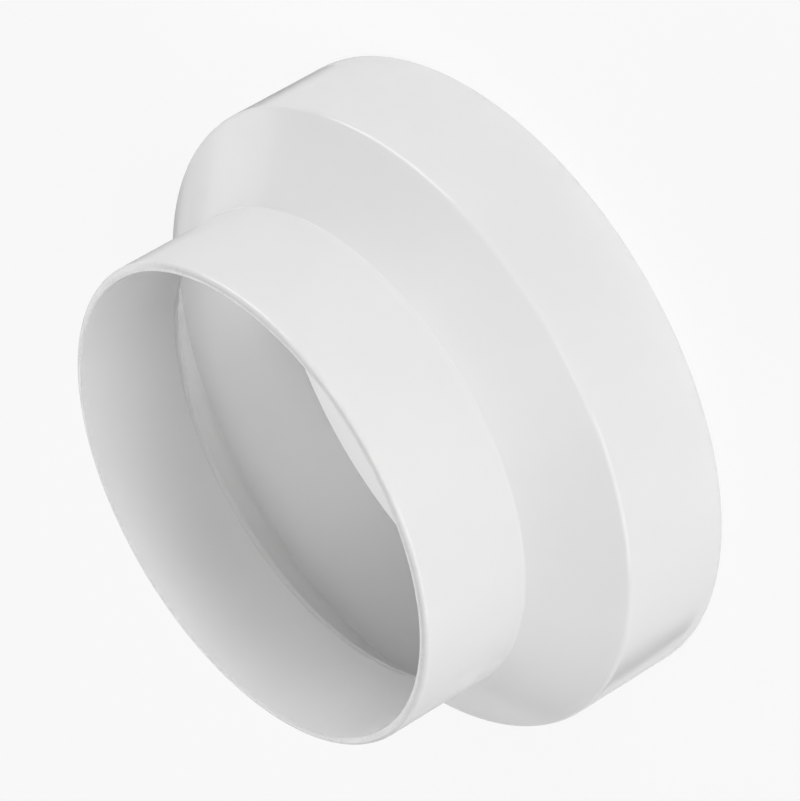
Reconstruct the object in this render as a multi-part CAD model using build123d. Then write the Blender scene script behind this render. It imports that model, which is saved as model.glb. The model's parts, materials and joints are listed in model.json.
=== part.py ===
from build123d import *
import math
import os

# A duct reducer: one moulded wall that steps a round air duct down in size.
# The wide collar slips over the larger duct, the spigot slips into the smaller one,
# and a conical shoulder joins the two. The part stands on its collar: z = 0 is the
# plane of the collar's rim, and +Z is the duct's axis, towards the spigot's mouth.

# Driving dimensions, in millimetres
LARGE_DUCT_OUTSIDE = 125.0  # diameter of the duct that the collar goes over
SMALL_DUCT_INSIDE = 100.0   # diameter of the duct that the spigot goes into
COLLAR_CLEARANCE = 0.3      # radial gap between the collar and the larger duct
SPIGOT_CLEARANCE = 0.25     # radial gap between the spigot and the smaller duct
COLLAR_LENGTH = 23.1        # from the rim to the outside corner of the shoulder
SHOULDER_HEIGHT = 12.2      # of the outside cone, along the axis
SPIGOT_LENGTH = 24.1        # from the shoulder to the mouth
COLLAR_WALL = 1.8
SHOULDER_WALL = 1.0         # square to the cone
SPIGOT_WALL = 1.8

# Rounded edges and filleted corners, as radii in millimetres
MOUTH_OUTER_ROUND = 1.1     # lead-in for the smaller duct
COLLAR_CORNER_ROUND = 1.6   # outside, from the collar to the cone
ROOT_FILLET = 0.5           # outside, from the cone to the spigot
THROAT_ROUND = 1.6          # inside, from the cone to the spigot's bore
SOCKET_FILLET = 0.5         # inside, from the collar to the cone

# Small broken edges, as the sides of a 45 degree chamfer in millimetres
MOUTH_INNER_BREAK = 0.2
RIM_OUTER_BREAK = 0.4
RIM_INNER_BREAK = 0.2       # lead-in for the larger duct

LARGEST_SHARE_OF_WALL = 0.6  # of a wall's end that one worked edge may take

# Radii
collar_inside = LARGE_DUCT_OUTSIDE / 2 + COLLAR_CLEARANCE
collar_outside = collar_inside + COLLAR_WALL
spigot_outside = SMALL_DUCT_INSIDE / 2 - SPIGOT_CLEARANCE
spigot_inside = spigot_outside - SPIGOT_WALL

# Heights of the outside corners above the rim
collar_corner = COLLAR_LENGTH
spigot_root = collar_corner + SHOULDER_HEIGHT
mouth = spigot_root + SPIGOT_LENGTH

# The inside cone is parallel to the outside cone, one shoulder wall below it
shoulder_angle = math.atan2(collar_outside - spigot_outside, SHOULDER_HEIGHT)
cone_drop = SHOULDER_WALL / math.sin(shoulder_angle)


def inside_cone_height(radius):
    """Height of the inside cone at a distance from the axis."""
    return spigot_root - (radius - spigot_outside) / math.tan(shoulder_angle) - cone_drop


def on_wall_end(wanted, wall):
    """Size of a rounded or broken edge, limited by the wall whose end it is on."""
    return min(wanted, LARGEST_SHARE_OF_WALL * wall)


def wall_section():
    """Half section of the wall in the XZ plane, with its corners rounded and its edges broken."""
    corners = {
        "rim inside": (collar_inside, 0),
        "rim outside": (collar_outside, 0),
        "collar corner": (collar_outside, collar_corner),
        "spigot root": (spigot_outside, spigot_root),
        "mouth outside": (spigot_outside, mouth),
        "mouth inside": (spigot_inside, mouth),
        "throat": (spigot_inside, inside_cone_height(spigot_inside)),
        "socket end": (collar_inside, inside_cone_height(collar_inside)),
    }
    rounds = {
        "collar corner": COLLAR_CORNER_ROUND,
        "spigot root": ROOT_FILLET,
        "mouth outside": on_wall_end(MOUTH_OUTER_ROUND, SPIGOT_WALL),
        "throat": THROAT_ROUND,
        "socket end": SOCKET_FILLET,
    }
    breaks = {
        "rim inside": on_wall_end(RIM_INNER_BREAK, COLLAR_WALL),
        "rim outside": on_wall_end(RIM_OUTER_BREAK, COLLAR_WALL),
        "mouth inside": on_wall_end(MOUTH_INNER_BREAK, SPIGOT_WALL),
    }
    with BuildSketch(Plane.XZ) as section:
        with BuildLine():
            Polyline(*corners.values(), close=True)
        make_face()
        for place, size in rounds.items():
            fillet(section.vertices().sort_by_distance(corners[place])[0], radius=size)
        for place, size in breaks.items():
            chamfer(section.vertices().sort_by_distance(corners[place])[0], length=size)
    return section.sketch


def reducer_body():
    """The whole reducer: its wall section carried once round the duct's axis."""
    return revolve(wall_section(), axis=Axis.Z, revolution_arc=360)


os.makedirs("parts", exist_ok=True)
export_step(reducer_body(), "parts/reducer_body.step")
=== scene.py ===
# %% [markdown]
# A duct reducer is one moulded wall of white plastic. A wide collar goes over the larger duct,
# a spigot goes into the smaller one, and a conical shoulder joins the two. This lesson dresses
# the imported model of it: one surface of revolution, one plastic finish, a pale floor, a camera
# and a soft studio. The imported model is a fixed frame, so the new surface takes its sizes from it.

# %% Load the frame
import json
import math

import bpy
import numpy as np
from mathutils import Matrix, Vector


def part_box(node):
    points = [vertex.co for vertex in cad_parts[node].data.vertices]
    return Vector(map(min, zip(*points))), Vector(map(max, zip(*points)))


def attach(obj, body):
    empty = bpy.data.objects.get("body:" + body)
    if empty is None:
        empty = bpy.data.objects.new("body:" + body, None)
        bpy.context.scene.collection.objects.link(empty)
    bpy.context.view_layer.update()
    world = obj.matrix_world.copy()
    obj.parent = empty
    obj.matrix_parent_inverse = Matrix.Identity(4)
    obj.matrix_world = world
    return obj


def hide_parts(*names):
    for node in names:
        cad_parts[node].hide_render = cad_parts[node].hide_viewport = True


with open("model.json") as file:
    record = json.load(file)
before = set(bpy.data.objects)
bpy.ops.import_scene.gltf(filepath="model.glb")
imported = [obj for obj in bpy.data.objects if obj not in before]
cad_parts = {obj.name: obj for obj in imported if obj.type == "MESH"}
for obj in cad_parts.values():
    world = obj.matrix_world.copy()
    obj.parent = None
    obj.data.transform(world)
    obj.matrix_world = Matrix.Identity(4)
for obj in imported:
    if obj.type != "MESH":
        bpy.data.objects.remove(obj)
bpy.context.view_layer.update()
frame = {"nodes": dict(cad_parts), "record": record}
print("nodes in the frame:", sorted(frame["nodes"]))

# %% [markdown]
# The frame already knows the sizes that matter to other parts. The record's mounts give the
# spigot's outside radius and the collar's inside radius, and the node's box gives the collar's
# outside radius and the height. Only the wall's own sizes are written here, in metres.

# %% Sizes of the wall
MILLIMETRE = 0.001
SPIGOT_WALL = 1.8 * MILLIMETRE
SHOULDER_WALL = 1.0 * MILLIMETRE
COLLAR_LENGTH = 23.1 * MILLIMETRE
SHOULDER_HEIGHT = 12.2 * MILLIMETRE

mounts = {mount["name"]: mount for mount in frame["record"]["mounts"]}
_, body_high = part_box("reducer_body")
spigot_outside = mounts["spigot"]["dims"]["r_mm"] * MILLIMETRE
spigot_inside = spigot_outside - SPIGOT_WALL
collar_inside = mounts["collar_socket"]["dims"]["r_mm"] * MILLIMETRE
collar_outside = body_high.x
spigot_root = COLLAR_LENGTH + SHOULDER_HEIGHT
mouth_height = body_high.z
print("spigot length in mm:", round((mouth_height - spigot_root) / MILLIMETRE, 2))

# %% [markdown]
# The inside of the shoulder is a cone parallel to its outside, one wall below it. Two parallel
# lines that lie a distance apart, measured square to them, are further apart along the axis: the
# distance divided by the sine of the angle that the lines make with the axis.

# %% The inside cone
shoulder_angle = math.atan2(collar_outside - spigot_outside, SHOULDER_HEIGHT)


def inside_cone_height(radius):
    """Height of the inside cone: the outside cone's height at that radius, less the wall's drop."""
    outside = spigot_root - (radius - spigot_outside) / math.tan(shoulder_angle)
    return outside - SHOULDER_WALL / math.sin(shoulder_angle)


print("shoulder's angle to the axis:", round(math.degrees(shoulder_angle), 1))

# %% [markdown]
# Two steel cores shape the inside of such a part, one from each end, and they meet just above the
# throat. The wall keeps a fine line there. It could be a dark painted ring, but that would stay
# dark in any light, so it is cut into the wall as a groove and the shade in it is real.

# %% Line where the two cores met
CORE_LINE_FROM_MOUTH = 23.0 * MILLIMETRE
CORE_LINE_HALF = 0.16 * MILLIMETRE
CORE_LINE_DEPTH = 0.22 * MILLIMETRE
core_line_height = mouth_height - CORE_LINE_FROM_MOUTH
print("core line above the rim in mm:", round(core_line_height / MILLIMETRE, 2))

# %% [markdown]
# A moulded wall has no razor edges. The section is a closed loop of corners, and each one
# has its own radius: a generous lead-in at the spigot's mouth, tight corners where the steel of
# the mould was sharp, and a soft throat inside where the air turns.

# %% Roundings of the section
RIM_INSIDE_ROUND = 0.2 * MILLIMETRE
RIM_OUTSIDE_ROUND = 0.4 * MILLIMETRE
COLLAR_CORNER_ROUND = 1.6 * MILLIMETRE
ROOT_ROUND = 0.5 * MILLIMETRE
MOUTH_OUTSIDE_ROUND = 1.1 * MILLIMETRE
MOUTH_INSIDE_ROUND = 0.2 * MILLIMETRE
CORE_LINE_ROUND = 0.05 * MILLIMETRE
THROAT_ROUND = 1.6 * MILLIMETRE
SOCKET_END_ROUND = 0.5 * MILLIMETRE
print("share of the mouth's wall that its lead-in takes:", round(MOUTH_OUTSIDE_ROUND / SPIGOT_WALL, 2))

# %% [markdown]
# The corners go once round the wall: out along the rim, up the outside, over the mouth and down
# the inside. With the wall's material always on the same side, one rule winds every face outward
# later on.

# %% Corners of the section: radius from the axis, height, rounding
section_corners = np.array([
    (collar_inside, 0.0, RIM_INSIDE_ROUND),
    (collar_outside, 0.0, RIM_OUTSIDE_ROUND),
    (collar_outside, COLLAR_LENGTH, COLLAR_CORNER_ROUND),
    (spigot_outside, spigot_root, ROOT_ROUND),
    (spigot_outside, mouth_height, MOUTH_OUTSIDE_ROUND),
    (spigot_inside, mouth_height, MOUTH_INSIDE_ROUND),
    (spigot_inside, core_line_height + CORE_LINE_HALF, CORE_LINE_ROUND),
    (spigot_inside + CORE_LINE_DEPTH, core_line_height, CORE_LINE_ROUND),
    (spigot_inside, core_line_height - CORE_LINE_HALF, CORE_LINE_ROUND),
    (spigot_inside, inside_cone_height(spigot_inside), THROAT_ROUND),
    (collar_inside, inside_cone_height(collar_inside), SOCKET_END_ROUND),
])
print("corners in the section:", len(section_corners))

# %% [markdown]
# A Bevel modifier could round a sharp mesh, but it gives every edge the same treatment. Here the
# arcs are worked out instead. Straight runs get rows of points too, so that the smooth shading of
# a small arc can't bleed across a long flat face.

# %% Arcs and runs of the section
ARC_STEPS = 10
RUN_SPACING = 1.5 * MILLIMETRE


def corner_arc(before, corner, after, rounding):
    """Arc tangent to both sides of a corner.

    The arc starts on one side and ends on the other, each a tangent length from the corner. Its
    centre lies on the line that halves the corner, and it is swept by the angle that the outline
    turns through there.
    """
    back = (before - corner) / np.linalg.norm(before - corner)
    ahead = (after - corner) / np.linalg.norm(after - corner)
    half_corner = math.acos(float(np.clip(back @ ahead, -1.0, 1.0))) / 2
    halving = (back + ahead) / np.linalg.norm(back + ahead)
    centre = corner + halving * rounding / math.sin(half_corner)
    start = corner + back * rounding / math.tan(half_corner) - centre
    side = math.copysign(1.0, start[1] * back[0] - start[0] * back[1])
    sweep = side * (math.pi - 2 * half_corner) * np.linspace(0.0, 1.0, ARC_STEPS + 1)[:, None]
    across = np.array([-start[1], start[0]])
    return centre + start * np.cos(sweep) + across * np.sin(sweep)


def section_loop(corners):
    """Closed outline of the wall: each corner's arc, then even steps along the run after it."""
    places = corners[:, :2]
    arcs = [
        corner_arc(places[i - 1], places[i], places[(i + 1) % len(places)], corners[i, 2])
        for i in range(len(places))
    ]
    pieces = []
    for arc, following in zip(arcs, arcs[1:] + arcs[:1]):
        run = following[0] - arc[-1]
        count = max(2, int(np.linalg.norm(run) / RUN_SPACING))
        share = np.linspace(0.0, 1.0, count + 1)[1:-1, None]
        pieces += [arc, arc[-1] + run * share]
    return np.concatenate(pieces)


wall_outline = section_loop(section_corners)
print("points in the section:", len(wall_outline))

# %% [markdown]
# The section is carried once round the duct's axis. Blender's Spin operator would do it, but it
# leaves doubled points at the seam. A grid that wraps in both directions is closed by its
# numbering: the last column's neighbour is the first column.

# %% Grid of the surface
TURN_STEPS = 360


def revolved_grid(outline, turn_steps):
    """Surface of revolution: x and y are the radius times the cosine and sine of the turn."""
    turn = np.linspace(0.0, 2 * math.pi, turn_steps, endpoint=False)[:, None]
    radius, height = outline[:, 0], outline[:, 1]
    x = np.cos(turn) * radius
    y = np.sin(turn) * radius
    z = np.broadcast_to(height, x.shape)
    return np.stack([x, y, z], axis=-1)


def wrapped_quads(turn_steps, outline_steps):
    """Faces of a grid closed both ways, wound so that they look away from the wall's inside.

    A point's number is its column times the outline's steps, plus its row.
    """
    column = np.arange(turn_steps)[:, None]
    row = np.arange(outline_steps)[None, :]
    next_column = (column + 1) % turn_steps
    next_row = (row + 1) % outline_steps
    corners = [
        column * outline_steps + row,
        next_column * outline_steps + row,
        next_column * outline_steps + next_row,
        column * outline_steps + next_row,
    ]
    return np.stack(corners, axis=-1).reshape(-1, 4)


print("points in the grid:", TURN_STEPS * len(wall_outline))

# %% [markdown]
# The grid becomes a mesh object at the origin. It rides on the frame's only body and stands in for the
# imported model's node in the picture.

# %% The reducer's wall
def mesh_object(name, points, faces):
    """A smooth-shaded mesh object made of a point array and an array of faces."""
    mesh = bpy.data.meshes.new(name)
    mesh.from_pydata(points.reshape(-1, 3), [], faces)
    mesh.polygons.foreach_set("use_smooth", np.ones(len(faces), dtype=bool))
    mesh.update()
    made = bpy.data.objects.new(name, mesh)
    bpy.context.scene.collection.objects.link(made)
    return made


reducer = mesh_object(
    "reducer_wall",
    revolved_grid(wall_outline, TURN_STEPS),
    wrapped_quads(TURN_STEPS, len(wall_outline)),
)
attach(reducer, "root")
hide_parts("reducer_body")
print("faces of the reducer:", len(reducer.data.polygons))

# %% [markdown]
# The finish is moulded white plastic, semi-gloss and almost clean. Its detail is small: pigment
# that never mixed quite evenly, gloss that handling has dulled in patches, and the skin of the
# mould. All of it is noise of a known size. Object coordinates are metres here, so each noise gets
# its true scale, and the pattern stays put when the part moves.

# %% Noise on the plastic
NOISE_USUAL = (0.3, 0.7)
NOISE_WIDE = (0.2, 0.8)
plastic = bpy.data.materials.new("moulded_white_plastic")
plastic.use_nodes = True
plastic_tree = plastic.node_tree
shader = plastic_tree.nodes["Principled BSDF"]
on_part = plastic_tree.nodes.new("ShaderNodeTexCoord").outputs["Object"]


def cloud(size, detail, stretch=(1, 1, 1)):
    """Noise with lumps of a size in metres, drawn out by a factor along x, y and z."""
    mapping = plastic_tree.nodes.new("ShaderNodeMapping")
    mapping.inputs["Scale"].default_value = [1 / (size * longer) for longer in stretch]
    plastic_tree.links.new(on_part, mapping.inputs["Vector"])
    noise = plastic_tree.nodes.new("ShaderNodeTexNoise")
    noise.inputs["Scale"].default_value = 1.0
    noise.inputs["Detail"].default_value = detail
    plastic_tree.links.new(mapping.outputs["Vector"], noise.inputs["Vector"])
    return noise.outputs["Fac"]


print("values that most of a noise lies between:", NOISE_USUAL)

# %% [markdown]
# A noise is only a number between 0 and 1. Two helpers turn it into something useful, in any node
# tree: one carries a range of values over to another range, and one does sums. They stand for the
# Map Range and Math nodes that would be joined by hand in the shader editor.

# %% Helpers for values in a node tree
NONE_TO_ALL = (0.0, 1.0)
ALL_TO_NONE = (1.0, 0.0)


def spread(tree, value, taken, given):
    """A value that runs over the taken range, carried to the given range and held at its ends."""
    made = tree.nodes.new("ShaderNodeMapRange")
    sockets = ("From Min", "From Max", "To Min", "To Max")
    for socket, size in zip(sockets, taken + given):
        made.inputs[socket].default_value = size
    tree.links.new(value, made.inputs["Value"])
    return made.outputs["Result"]


def math_node(tree, operation, first, second):
    """A Math node on two inputs, each one a number or another node's output."""
    made = tree.nodes.new("ShaderNodeMath")
    made.operation = operation
    for socket, value in zip(made.inputs, (first, second)):
        if isinstance(value, (int, float)):
            socket.default_value = value
        else:
            tree.links.new(value, socket)
    return made.outputs[0]


print("nodes in the plastic before its finish:", len(plastic_tree.nodes))

# %% [markdown]
# Wear on a duct fitting is at its two ends. The rim is set down on benches and floors, and the mouth
# meets the edge of every duct that is pushed on. So the height above the rim says where the plastic
# is rubbed, and a fine noise breaks the rubbed band up into patches.

# %% Rubbed ends
RUBBED_REACH = 1.2 * MILLIMETRE
RUBBED_PATCH = 1.5 * MILLIMETRE
PATCH_DETAIL = 3.0
PATCH_EDGE = (0.4, 0.65)
height_split = plastic_tree.nodes.new("ShaderNodeSeparateXYZ")
plastic_tree.links.new(on_part, height_split.inputs[0])
height = height_split.outputs["Z"]
mouth_band = (mouth_height - RUBBED_REACH, mouth_height)
by_rim = spread(plastic_tree, height, (0.0, RUBBED_REACH), ALL_TO_NONE)
by_mouth = spread(plastic_tree, height, mouth_band, NONE_TO_ALL)
at_ends = math_node(plastic_tree, "MAXIMUM", by_rim, by_mouth)
patches = spread(plastic_tree, cloud(RUBBED_PATCH, PATCH_DETAIL), PATCH_EDGE, NONE_TO_ALL)
rubbed = math_node(plastic_tree, "MULTIPLY", at_ends, patches)
print("rubbed band at the mouth in mm:", [round(value / MILLIMETRE, 1) for value in mouth_band])

# %% [markdown]
# The colour is a mix of two whites that differ by two hundredths, the greyer one where the melt
# flowed thin. A rubbed edge picks up a trace of grey as well.

# %% Colour of the plastic
WHITE = (0.83, 0.83, 0.83, 1.0)
GREYER_WHITE = (0.81, 0.81, 0.81, 1.0)
RUBBED_GREY = (0.7, 0.7, 0.7, 1.0)
RUBBED_STRENGTH = 0.35
FLOW_SIZE = 22 * MILLIMETRE
FLOW_DETAIL = 2.0


def mix_colours(share, first, second):
    """A Mix node between two colours, the first one a colour or another node's output."""
    made = plastic_tree.nodes.new("ShaderNodeMix")
    made.data_type = "RGBA"
    plastic_tree.links.new(share, made.inputs["Factor"])
    if isinstance(first, tuple):
        made.inputs["A"].default_value = first
    else:
        plastic_tree.links.new(first, made.inputs["A"])
    made.inputs["B"].default_value = second
    return made.outputs["Result"]


flow = spread(plastic_tree, cloud(FLOW_SIZE, FLOW_DETAIL), NOISE_USUAL, NONE_TO_ALL)
clean_white = mix_colours(flow, WHITE, GREYER_WHITE)
rubbed_share = math_node(plastic_tree, "MULTIPLY", rubbed, RUBBED_STRENGTH)
worn_white = mix_colours(rubbed_share, clean_white, RUBBED_GREY)
plastic_tree.links.new(worn_white, shader.inputs["Base Color"])
print("whites of the clean plastic:", GREYER_WHITE[0], "to", WHITE[0])

# %% [markdown]
# Gloss is even from far away and uneven close to. Two noises drive the roughness: soft patches a
# centimetre wide that handling leaves, and faint lines along the duct's axis where ducts have slid
# on and off. The lines are a noise that is drawn out along z, so on the upright walls they run up
# and down. The surface reflects a little less than clear plastic would, because its pigment
# reaches right up to the skin: its specular level is 0.3, where clear plastic has 0.5.

# %% Gloss of the plastic
HANDLED_SIZE = 9 * MILLIMETRE
HANDLED_DETAIL = 3.0
HANDLED_ROUGHNESS = (0.14, 0.19)
SLIDE_SIZE = 1.4 * MILLIMETRE
SLIDE_DETAIL = 1.0
SLIDE_STRETCH = (1, 1, 14)
SLIDE_ROUGHNESS = (0.0, 0.02)
RUBBED_ROUGHNESS = 0.12
SPECULAR_LEVEL = 0.3
hands = cloud(HANDLED_SIZE, HANDLED_DETAIL)
slides = cloud(SLIDE_SIZE, SLIDE_DETAIL, SLIDE_STRETCH)
handled = spread(plastic_tree, hands, NOISE_USUAL, HANDLED_ROUGHNESS)
slid = spread(plastic_tree, slides, NOISE_USUAL, SLIDE_ROUGHNESS)
worn = math_node(plastic_tree, "MULTIPLY", rubbed, RUBBED_ROUGHNESS)
unworn = math_node(plastic_tree, "ADD", handled, slid)
roughness = math_node(plastic_tree, "ADD", unworn, worn)
plastic_tree.links.new(roughness, shader.inputs["Roughness"])
shader.inputs["Specular IOR Level"].default_value = SPECULAR_LEVEL
print("roughest plastic:", round(HANDLED_ROUGHNESS[1] + SLIDE_ROUGHNESS[1] + RUBBED_ROUGHNESS, 2))

# %% [markdown]
# The skin of the mould shows in reflections only: a fine orange peel, and broad waves where the wall
# shrank as it cooled. They are only thousandths and hundredths of a millimetre high, too small for
# the mesh, so a Bump node tilts the shading instead. Its distance is 1, which makes its height
# input plain metres.

# %% Skin of the mould
PEEL_SIZE = 1.6 * MILLIMETRE
PEEL_HEIGHT = 0.002 * MILLIMETRE
WAVE_SIZE = 15 * MILLIMETRE
WAVE_HEIGHT = 0.04 * MILLIMETRE
SKIN_DETAIL = 0.0
peel = spread(plastic_tree, cloud(PEEL_SIZE, SKIN_DETAIL), NOISE_WIDE, (0.0, PEEL_HEIGHT))
waves = spread(plastic_tree, cloud(WAVE_SIZE, SKIN_DETAIL), NOISE_WIDE, (0.0, WAVE_HEIGHT))
skin = plastic_tree.nodes.new("ShaderNodeBump")
skin.inputs["Distance"].default_value = 1.0
plastic_tree.links.new(math_node(plastic_tree, "ADD", peel, waves), skin.inputs["Height"])
plastic_tree.links.new(skin.outputs["Normal"], shader.inputs["Normal"])
reducer.data.materials.append(plastic)
print("nodes in the plastic:", len(plastic_tree.nodes))

# %% [markdown]
# Round the part is a studio of paper, a white world, lamps and glowing grey sheets that paint
# reflections on the part's edges. Its finishes have one plan: two shaders are mixed, and the share of
# the second one says who sees it. So an empty node tree, a white glow and a mix that is shown are three
# helpers.

# %% Helpers for the studio's finishes
PURE_WHITE = (1.0, 1.0, 1.0, 1.0)


def empty_tree(owner):
    """The node tree of a material or a world, with nothing in it."""
    owner.use_nodes = True
    owner.node_tree.nodes.clear()
    return owner.node_tree


def white_glow(tree, kind, strength):
    """An even white glow: an Emission node in a material, a Background node in a world."""
    made = tree.nodes.new(kind)
    made.inputs["Color"].default_value = PURE_WHITE
    made.inputs["Strength"].default_value = strength
    return made


def show_mix(tree, output_kind, share, first, second):
    """The first shader times one less the share, plus the second times the share, sent to the output."""
    mix = tree.nodes.new("ShaderNodeMixShader")
    for socket, source in zip(mix.inputs, (share, first.outputs[0], second.outputs[0])):
        tree.links.new(source, socket)
    shown = tree.nodes.new(output_kind)
    tree.links.new(mix.outputs[0], shown.inputs["Surface"])


print("materials so far:", sorted(material.name for material in bpy.data.materials))

# %% [markdown]
# Both the floor and the world beyond it should look white in the picture without lighting the
# reducer any more than the lamps do. Each gets a plain white glow that is meant for the camera. A
# mirror-like glance sees a small share of it, and the light that bounces between surfaces none.

# %% What a ray sees of the white glow
MIRROR_SHARE = 0.12


def glow_share(tree, camera_share):
    """Share of the glow that a ray sees.

    The camera's rays get the camera's share, glossy and transmitted rays the mirror's share, and
    all the rest none.
    """
    path = tree.nodes.new("ShaderNodeLightPath").outputs
    mirror = math_node(tree, "MAXIMUM", path["Is Glossy Ray"], path["Is Transmission Ray"])
    by_camera = math_node(tree, "MULTIPLY", path["Is Camera Ray"], camera_share)
    by_mirror = math_node(tree, "MULTIPLY", mirror, MIRROR_SHARE)
    return math_node(tree, "ADD", by_camera, by_mirror)


print("share of the glow in a mirror-like glance:", MIRROR_SHARE)

# %% [markdown]
# The reducer stands on a sheet of pale paper. One flat square does for it, if it is large enough to
# reach the horizon. It belongs to the stage, so it isn't counted in the size of the part.

# %% Floor
FLOOR_REACH = 20.0
floor_corners = np.array([(-1, -1, 0), (1, -1, 0), (1, 1, 0), (-1, 1, 0)]) * FLOOR_REACH
floor = mesh_object("floor", floor_corners, np.array([(0, 1, 2, 3)]))
print("width of the floor in metres:", 2 * FLOOR_REACH)

# %% [markdown]
# The paper mixes a matt shader, which takes the lamps' light and the reducer's shadow, with the
# glow. Inside the collar it lies in shade, so there the glow is weaker: the distance from the axis
# sets its share.

# %% Paper on the floor
FLOOR_GLOW = 1.0
FLOOR_SHARE = 0.85
SHADED_SHARE = 0.45
PAPER = (0.9, 0.9, 0.9, 1.0)
paper = bpy.data.materials.new("pale_paper")
paper_tree = empty_tree(paper)
from_axis = paper_tree.nodes.new("ShaderNodeVectorMath")
from_axis.operation = "LENGTH"
on_floor = paper_tree.nodes.new("ShaderNodeTexCoord").outputs["Object"]
paper_tree.links.new(on_floor, from_axis.inputs[0])
under_wall = (collar_inside, collar_outside)
floor_share = spread(paper_tree, from_axis.outputs["Value"], under_wall, (SHADED_SHARE, FLOOR_SHARE))
matt = paper_tree.nodes.new("ShaderNodeBsdfDiffuse")
matt.inputs["Color"].default_value = PAPER
glow = white_glow(paper_tree, "ShaderNodeEmission", FLOOR_GLOW)
show_mix(paper_tree, "ShaderNodeOutputMaterial", glow_share(paper_tree, floor_share), matt, glow)
floor.data.materials.append(paper)
print("nodes in the paper:", len(paper_tree.nodes))

# %% [markdown]
# Above the horizon is the world. It works as the paper does: the camera sees a white backdrop, and
# everything else gets a dim even fill, so that the softboxes shape the part. A bright white world
# would be quicker to set up, but it lights a white part from all sides at once and flattens it.

# %% World
BACKDROP_WHITE = 0.94
BACKDROP_SHARE = 1.0
STUDIO_FILL = 0.02
world = bpy.data.worlds.new("studio")
bpy.context.scene.world = world
world_tree = empty_tree(world)
fill = white_glow(world_tree, "ShaderNodeBackground", STUDIO_FILL)
backdrop = white_glow(world_tree, "ShaderNodeBackground", BACKDROP_WHITE)
show_mix(world_tree, "ShaderNodeOutputWorld", glow_share(world_tree, BACKDROP_SHARE), fill, backdrop)
print("nodes in the world:", len(world_tree.nodes))

# %% [markdown]
# The photograph was taken from far off through a long lens, so the part's two ends look almost
# equally near. The camera keeps that. It looks down by 30 degrees on the standing part, and it is
# rolled about its own view so that the duct's axis leans in the picture as it does in the
# photograph. The centre of the mouth is the anchor: its place in the camera's own axes is known,
# and the camera's place follows from it.

# %% Camera
IMAGE_HEIGHT = 801
FOCAL_PIXELS = 5749.4
SENSOR = 36.0
VIEW_REACH = 100.0
CAMERA_ELEVATION = math.radians(30.02)
CAMERA_ROLL = math.radians(-120.2)
MOUTH_IN_VIEW = Vector((-28.34, -19.67, -1059.1)) * MILLIMETRE

lens = bpy.data.cameras.new("camera")
lens.sensor_width = SENSOR
lens.lens = FOCAL_PIXELS * SENSOR / IMAGE_HEIGHT
lens.clip_end = VIEW_REACH
camera = bpy.data.objects.new("camera", lens)
bpy.context.scene.collection.objects.link(camera)
look_down = Matrix.Rotation(math.pi / 2 - CAMERA_ELEVATION, 3, "X")
camera_turn = look_down @ Matrix.Rotation(CAMERA_ROLL, 3, "Z")
camera_place = Vector((0, 0, mouth_height)) - camera_turn @ MOUTH_IN_VIEW
camera.matrix_world = Matrix.Translation(camera_place) @ camera_turn.to_4x4()
bpy.context.scene.camera = camera
bpy.context.scene.view_settings.view_transform = "Standard"
print("camera at", [round(value, 4) for value in camera_place])

# %% [markdown]
# Product photographers put a small white object among softboxes. An area lamp is one: a glowing
# rectangle whose reflection slides over the gloss of the plastic. Its strength is given as the
# light that arrives, in watts per square metre on a surface that faces it. A lamp that gives off
# power P and is small for its distance d sends P / (pi d squared) to such a surface.

# %% Softboxes
LAMP_DISTANCE = 1.5
aim = Vector((0.0, 0.0, mouth_height / 2))


def hang_lamp(name, data, place, turn):
    """Put a lamp's data into the scene at a place, turned, and keep the lamp itself out of sight."""
    lamp = bpy.data.objects.new(name, data)
    lamp.location = place
    lamp.rotation_euler = turn
    lamp.visible_camera = False
    bpy.context.scene.collection.objects.link(lamp)
    return lamp


def softbox(name, bearing, lift, wide, tall, light):
    """An area lamp on a sphere round the part, turned to face it.

    Its bearing and lift on the sphere, and its width and height as seen from the part, are angles
    in degrees. The side of a lamp is twice the distance times the tangent of half its angle.
    """
    around, up = math.radians(bearing), math.radians(lift)
    toward = Vector((math.cos(up) * math.cos(around), math.cos(up) * math.sin(around), math.sin(up)))
    data = bpy.data.lights.new(name, "AREA")
    data.shape = "RECTANGLE"
    data.size = 2 * LAMP_DISTANCE * math.tan(math.radians(wide) / 2)
    data.size_y = 2 * LAMP_DISTANCE * math.tan(math.radians(tall) / 2)
    data.energy = light * math.pi * LAMP_DISTANCE ** 2
    hang_lamp(name, data, aim + toward * LAMP_DISTANCE, toward.to_track_quat("Z", "Y").to_euler())


print("height that the softboxes aim at in mm:", round(aim.z / MILLIMETRE, 1))

# %% [markdown]
# The camera stands at a bearing of 270 degrees. Low boxes to both sides of it light the upright
# walls, three behind the part catch the far lip and fill the shoulder, and three high ones in front
# reach down into the mouth. Wide lamps that aren't too bright leave no hard streaks on the cone.

# %% Hang the softboxes: bearing, lift, width and height in degrees, and light
softboxes = {
    "left_low": (345, 10, 50, 18, 1.74),
    "left_back": (76, 14, 70, 28, 0.78),
    "behind": (92, 28, 60, 16, 0.85),
    "back_high": (115, 50, 60, 36, 0.2),
    "right_low": (216, 8, 50, 14, 1.58),
    "front_high": (250, 40, 30, 20, 0.68),
    "front_left_high": (290, 40, 30, 20, 0.4),
    "front_top": (270, 65, 50, 30, 0.45),
}
for name, setting in softboxes.items():
    softbox(name, *setting)
print("softboxes:", len(softboxes))

# %% [markdown]
# Air goes right through a reducer and so does light. Standing on its collar, the part shuts the
# light out at that end, so a small oval lamp lies on the floor inside the collar and gives it back.
# It lies near the far wall: from there it shines up at the inside cone and hardly touches the bore
# above. A lamp that isn't turned shines straight down, so this one is turned over. A flat lamp
# gives off pi times its brightness for each square metre, and an oval covers pi / 4 of the
# rectangle round it.

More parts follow.
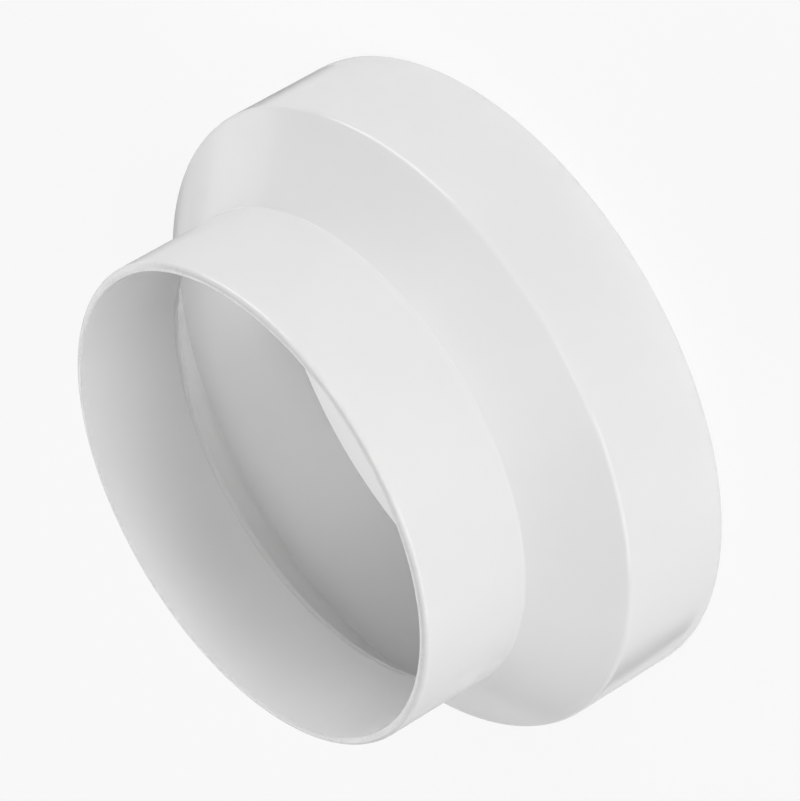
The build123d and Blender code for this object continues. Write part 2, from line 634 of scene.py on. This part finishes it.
# %% Lamp inside the collar
INSIDE_BRIGHTNESS = 1.45
INSIDE_LAMP_PLACE = Vector((30, 30, 1.5)) * MILLIMETRE
INSIDE_LAMP_SIZE = Vector((34, 30)) * MILLIMETRE
TURNED_OVER = (math.pi, 0.0, 0.0)
inside_lamp_area = math.pi / 4 * INSIDE_LAMP_SIZE.x * INSIDE_LAMP_SIZE.y
inside_data = bpy.data.lights.new("inside_collar", "AREA")
inside_data.shape = "ELLIPSE"
inside_data.size, inside_data.size_y = INSIDE_LAMP_SIZE
inside_data.energy = INSIDE_BRIGHTNESS * math.pi * inside_lamp_area
inside_lamp = hang_lamp("inside_collar", inside_data, INSIDE_LAMP_PLACE, TURNED_OVER)
inside_lamp.visible_glossy = False

# %% [markdown]
# A white part in front of white paper loses its edges. So its edges get painted reflections: flat sheets
# on the floor glow an even grey that no lamp gives, and at a glancing angle even plastic is a mirror, so
# its edges pick up that grey and draw grey lines. A glance hardly bends the line of sight, so a sheet's
# grey is shown only to rays that still run along the camera's view. From any other side the sheet is
# clear, and it leaves no smudge on the part.

# %% Finish of a painted reflection
GLANCE = (0.74, 0.82)
to_camera = camera_turn @ Vector((0, 0, 1))


# This grey glow is a painted reflection: it shows only in the plastic's mirror along the camera's view.
def painted_reflection_finish(name, grey):
    """An even grey glow, a painted reflection, that is clear to all rays but those along the camera's
    view.

    The dot product of a ray's direction and the camera's is the cosine of the angle between them.
    """
    finish = bpy.data.materials.new(name)
    tree = empty_tree(finish)
    along_view = tree.nodes.new("ShaderNodeVectorMath")
    along_view.operation = "DOT_PRODUCT"
    along_view.inputs[1].default_value = to_camera
    ray = tree.nodes.new("ShaderNodeNewGeometry").outputs["Incoming"]
    tree.links.new(ray, along_view.inputs[0])
    shown = spread(tree, along_view.outputs["Value"], GLANCE, NONE_TO_ALL)
    clear = tree.nodes.new("ShaderNodeBsdfTransparent")
    even = white_glow(tree, "ShaderNodeEmission", grey)
    show_mix(tree, "ShaderNodeOutputMaterial", shown, clear, even)
    return finish


print("direction of the camera:", [round(value, 3) for value in to_camera])

# %% [markdown]
# A painted reflection is a flat glowing sheet just above the floor, and it casts no shadow on it. It
# only has to show in reflections, so the camera and the light that bounces between surfaces pass it by.
# Beside the collar, a sheet's corners follow the round foot of the wall.

# %% A painted reflection on the floor
REFLECTION_SHEET_LIFT = 0.2 * MILLIMETRE


def lay_painted_reflection(name, corners, grey):
    """A flat glowing sheet of one grey that paints a reflection, with its corners in millimetres from
    the axis.
    """
    flat = np.array(corners) * MILLIMETRE
    points = np.column_stack([flat, np.full(len(flat), REFLECTION_SHEET_LIFT)])
    reflection_sheet = mesh_object(name, points, np.arange(len(points))[None, :])
    reflection_sheet.visible_camera = False
    reflection_sheet.visible_diffuse = False
    reflection_sheet.visible_shadow = False
    reflection_sheet.data.materials.append(painted_reflection_finish(name, grey))


def round_foot(bearings, gap):
    """Points a gap outside the collar, the radius times the cosine and sine of each bearing."""
    radius = collar_outside / MILLIMETRE + gap
    turns = np.radians(bearings)
    return list(zip(radius * np.cos(turns), radius * np.sin(turns)))


print("lift of the cards in mm:", REFLECTION_SHEET_LIFT / MILLIMETRE)

# %% [markdown]
# The camera looks along y and is rolled over, so the picture's upper left edge is at plus x and its
# lower right edge at minus x. A wall mirrors the floor at its own foot, and further out for a point
# higher up: that is why the collar's painted reflections begin at the wall and the spigot's lies 50 mm
# away. On the right a light glowing sheet lies at the foot and a dark one beyond it, so that edge shows
# a painted light line with a painted grey band beside it.

# %% Lay the painted reflections: grey, then corners in millimetres from the axis
FOOT_GAP = 0.2
PAINTED_LIGHT_GAP = 1.7
foot = collar_outside / MILLIMETRE + FOOT_GAP
light_inside = round_foot([180, 190, 200, 207], FOOT_GAP)
light_outside = round_foot([207, 200, 194.4], PAINTED_LIGHT_GAP)
# Each of these glowing sheets is a painted reflection: the dark greys paint grey lines along the part's
# edges.
painted_reflections = {
    "collar_left_painted_dark_reflection": (0.2, [(foot, -10), (79, 26), (79, 46), (foot, 46)]),
    "spigot_left_painted_dark_reflection": (0.3, [(45, 50), (67, 48), (83, 92), (90, 112), (30, 112)]),
    "collar_right_painted_dark_reflection": (0.03, [*light_outside, (-90.8, 38), (-115, 8.8)]),
    # The light grey sheet at the foot is a painted light reflection: it draws the light line along the
    # collar's lower right edge.
    "collar_right_foot_painted_light_reflection": (0.75, [(-foot, 65), *light_inside, *light_outside, (-104, 65)]),
}
for name, (grey, corners) in painted_reflections.items():
    lay_painted_reflection(name, corners, grey)
print("cards:", sorted(painted_reflections))
